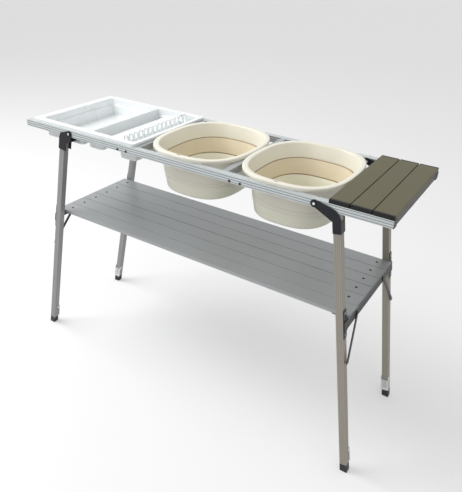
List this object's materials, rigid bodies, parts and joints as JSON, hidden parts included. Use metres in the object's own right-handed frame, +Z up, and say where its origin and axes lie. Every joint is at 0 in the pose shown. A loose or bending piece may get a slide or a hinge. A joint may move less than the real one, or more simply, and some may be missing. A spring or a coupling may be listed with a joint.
{
  "type": "folding camp wash stand",
  "caption": "Folding aluminium camp wash stand: drainer tray, collapsible basins and a slatted end table on a ribbed frame, folding splayed legs, lift-off slatted shelf.",
  "frame": {"origin": "on the floor under the middle of the whole stand", "axes": "+X along the rails from the drainer tray to the end table, +Y to the rear, +Z up"},
  "size_m": [1.2089, 0.396, 0.806],
  "materials": {
    "rail": "satin anodised, fine grooves",
    "leg": "matte anodised",
    "shelf_slat": "matte anodised, fine ribs",
    "table_slat": "matte taupe coating, fine ribs",
    "black_plastic": "fine grain",
    "black_steel": "black powder coating",
    "fastener": "zinc plated",
    "basin": "satin moulded",
    "basin_soft_wall": "matte soft rubber",
    "tray": "satin moulded"
  },
  "bodies": {
    "frame": {"front_rail": "rail", "rear_rail": "rail", "left_end_bar": "rail", "tray_cross_bar": "rail", "basin_cross_bar": "rail", "table_cross_bar": "rail", "right_end_bar": "black_steel", "rail_end_plugs": "black_plastic", "rail_screws": "fastener", "pivot_rivets": "fastener", "table_slat_1": "table_slat", "table_slat_2": "table_slat", "table_slat_3": "table_slat", "table_slat_caps": "black_plastic"},
    "leg_front_left": {"leg_tube_front_left": "leg", "leg_bracket_front_left": "black_plastic", "shelf_hook_front_left": "black_steel", "leg_pins_front_left": "fastener"},
    "foot_front_left_body": {"foot_front_left": "black_plastic"},
    "lever_front_left": {"foot_lever_front_left": "fastener"},
    "leg_rear_left": {"leg_tube_rear_left": "leg", "leg_bracket_rear_left": "black_plastic", "shelf_hook_rear_left": "black_steel", "leg_pins_rear_left": "fastener"},
    "foot_rear_left_body": {"foot_rear_left": "black_plastic"},
    "lever_rear_left": {"foot_lever_rear_left": "fastener"},
    "leg_front_right": {"leg_tube_front_right": "leg", "leg_bracket_front_right": "black_plastic", "shelf_hook_front_right": "black_steel", "leg_pins_front_right": "fastener"},
    "foot_front_right_body": {"foot_front_right": "black_plastic"},
    "lever_front_right": {"foot_lever_front_right": "fastener"},
    "leg_rear_right": {"leg_tube_rear_right": "leg", "leg_bracket_rear_right": "black_plastic", "shelf_hook_rear_right": "black_steel", "leg_pins_rear_right": "fastener"},
    "foot_rear_right_body": {"foot_rear_right": "black_plastic"},
    "lever_rear_right": {"foot_lever_rear_right": "fastener"},
    "shelf": {"shelf_slat_1": "shelf_slat", "shelf_slat_2": "shelf_slat", "shelf_slat_3": "shelf_slat", "shelf_slat_4": "shelf_slat", "shelf_slat_5": "shelf_slat", "shelf_slat_6": "shelf_slat", "shelf_screws": "fastener", "shelf_bar_left": "black_steel", "shelf_bar_right": "black_steel"},
    "strut_front_left": {"shelf_strut_front_left": "black_steel"},
    "strut_rear_left": {"shelf_strut_rear_left": "black_steel"},
    "strut_front_right": {"shelf_strut_front_right": "black_steel"},
    "strut_rear_right": {"shelf_strut_rear_right": "black_steel"},
    "basin_1": {"basin_1_rim": "basin", "basin_1_wall": "basin_soft_wall"},
    "basin_1_bottom": {"basin_1_base": "basin"},
    "basin_2": {"basin_2_rim": "basin", "basin_2_wall": "basin_soft_wall"},
    "basin_2_bottom": {"basin_2_base": "basin"},
    "tray": {"drainer_tray": "tray", "plate_prongs": "tray"}
  },
  "joints": [
    {"name": "fold_front_left_leg", "type": "hinge", "parent": "frame", "child": "leg_front_left", "pos_m": [-0.41473, -0.183, 0.779], "axis": [0, -1, 0], "range_deg": [0, 99.64]},
    {"name": "extend_front_left_foot", "type": "slide", "parent": "leg_front_left", "child": "foot_front_left_body", "axis": [-0.1675, 0, -0.9859], "range_m": [0, 0.06]},
    {"name": "flip_front_left_lever", "type": "hinge", "parent": "leg_front_left", "child": "lever_front_left", "pos_m": [-0.56333, -0.178, 0.07132], "axis": [0.9859, 0, -0.1675], "range_deg": [0, 100]},
    {"name": "fold_rear_left_leg", "type": "hinge", "parent": "frame", "child": "leg_rear_left", "pos_m": [-0.41473, 0.183, 0.779], "axis": [0, -1, 0], "range_deg": [0, 99.64]},
    {"name": "extend_rear_left_foot", "type": "slide", "parent": "leg_rear_left", "child": "foot_rear_left_body", "axis": [-0.1675, 0, -0.9859], "range_m": [0, 0.06]},
    {"name": "flip_rear_left_lever", "type": "hinge", "parent": "leg_rear_left", "child": "lever_rear_left", "pos_m": [-0.56333, 0.178, 0.07132], "axis": [-0.9859, 0, 0.1675], "range_deg": [0, 100]},
    {"name": "fold_front_right_leg", "type": "hinge", "parent": "frame", "child": "leg_front_right", "pos_m": [0.40527, -0.183, 0.779], "axis": [0, 1, 0], "range_deg": [0, 99.64]},
    {"name": "extend_front_right_foot", "type": "slide", "parent": "leg_front_right", "child": "foot_front_right_body", "axis": [0.1675, 0, -0.9859], "range_m": [0, 0.06]},
    {"name": "flip_front_right_lever", "type": "hinge", "parent": "leg_front_right", "child": "lever_front_right", "pos_m": [0.58127, -0.178, 0.07132], "axis": [0.9859, 0, 0.1675], "range_deg": [0, 100]},
    {"name": "fold_rear_right_leg", "type": "hinge", "parent": "frame", "child": "leg_rear_right", "pos_m": [0.40527, 0.183, 0.779], "axis": [0, 1, 0], "range_deg": [0, 99.64]},
    {"name": "extend_rear_right_foot", "type": "slide", "parent": "leg_rear_right", "child": "foot_rear_right_body", "axis": [0.1675, 0, -0.9859], "range_m": [0, 0.06]},
    {"name": "flip_rear_right_lever", "type": "hinge", "parent": "leg_rear_right", "child": "lever_rear_right", "pos_m": [0.58127, 0.178, 0.07132], "axis": [-0.9859, 0, -0.1675], "range_deg": [0, 100]},
    {"name": "lift_off_shelf", "type": "slide", "parent": "frame", "child": "shelf", "axis": [0, 0, 1], "range_m": [0, 0.1]},
    {"name": "swing_front_left_strut", "type": "hinge", "parent": "shelf", "child": "strut_front_left", "pos_m": [-0.51076, -0.106, 0.465], "axis": [0.9859, 0, -0.1675], "range_deg": [0, 80]},
    {"name": "swing_rear_left_strut", "type": "hinge", "parent": "shelf", "child": "strut_rear_left", "pos_m": [-0.51076, 0.106, 0.465], "axis": [-0.9859, 0, 0.1675], "range_deg": [0, 80]},
    {"name": "swing_front_right_strut", "type": "hinge", "parent": "shelf", "child": "strut_front_right", "pos_m": [0.5287, -0.106, 0.465], "axis": [0.9859, 0, 0.1675], "range_deg": [0, 80]},
    {"name": "swing_rear_right_strut", "type": "hinge", "parent": "shelf", "child": "strut_rear_right", "pos_m": [0.5287, 0.106, 0.465], "axis": [-0.9859, 0, -0.1675], "range_deg": [0, 80]},
    {"name": "lift_out_basin_1", "type": "slide", "parent": "frame", "child": "basin_1", "axis": [0, 0, 1], "range_m": [0, 0.2]},
    {"name": "collapse_basin_1", "type": "slide", "parent": "basin_1", "child": "basin_1_bottom", "axis": [0, 0, 1], "range_m": [0, 0.04], "deforming": ["basin_1_wall"]},
    {"name": "lift_out_basin_2", "type": "slide", "parent": "frame", "child": "basin_2", "axis": [0, 0, 1], "range_m": [0, 0.2]},
    {"name": "collapse_basin_2", "type": "slide", "parent": "basin_2", "child": "basin_2_bottom", "axis": [0, 0, 1], "range_m": [0, 0.04], "deforming": ["basin_2_wall"]},
    {"name": "lift_out_tray", "type": "slide", "parent": "frame", "child": "tray", "axis": [0, 0, 1], "range_m": [0, 0.1]}
  ]
}
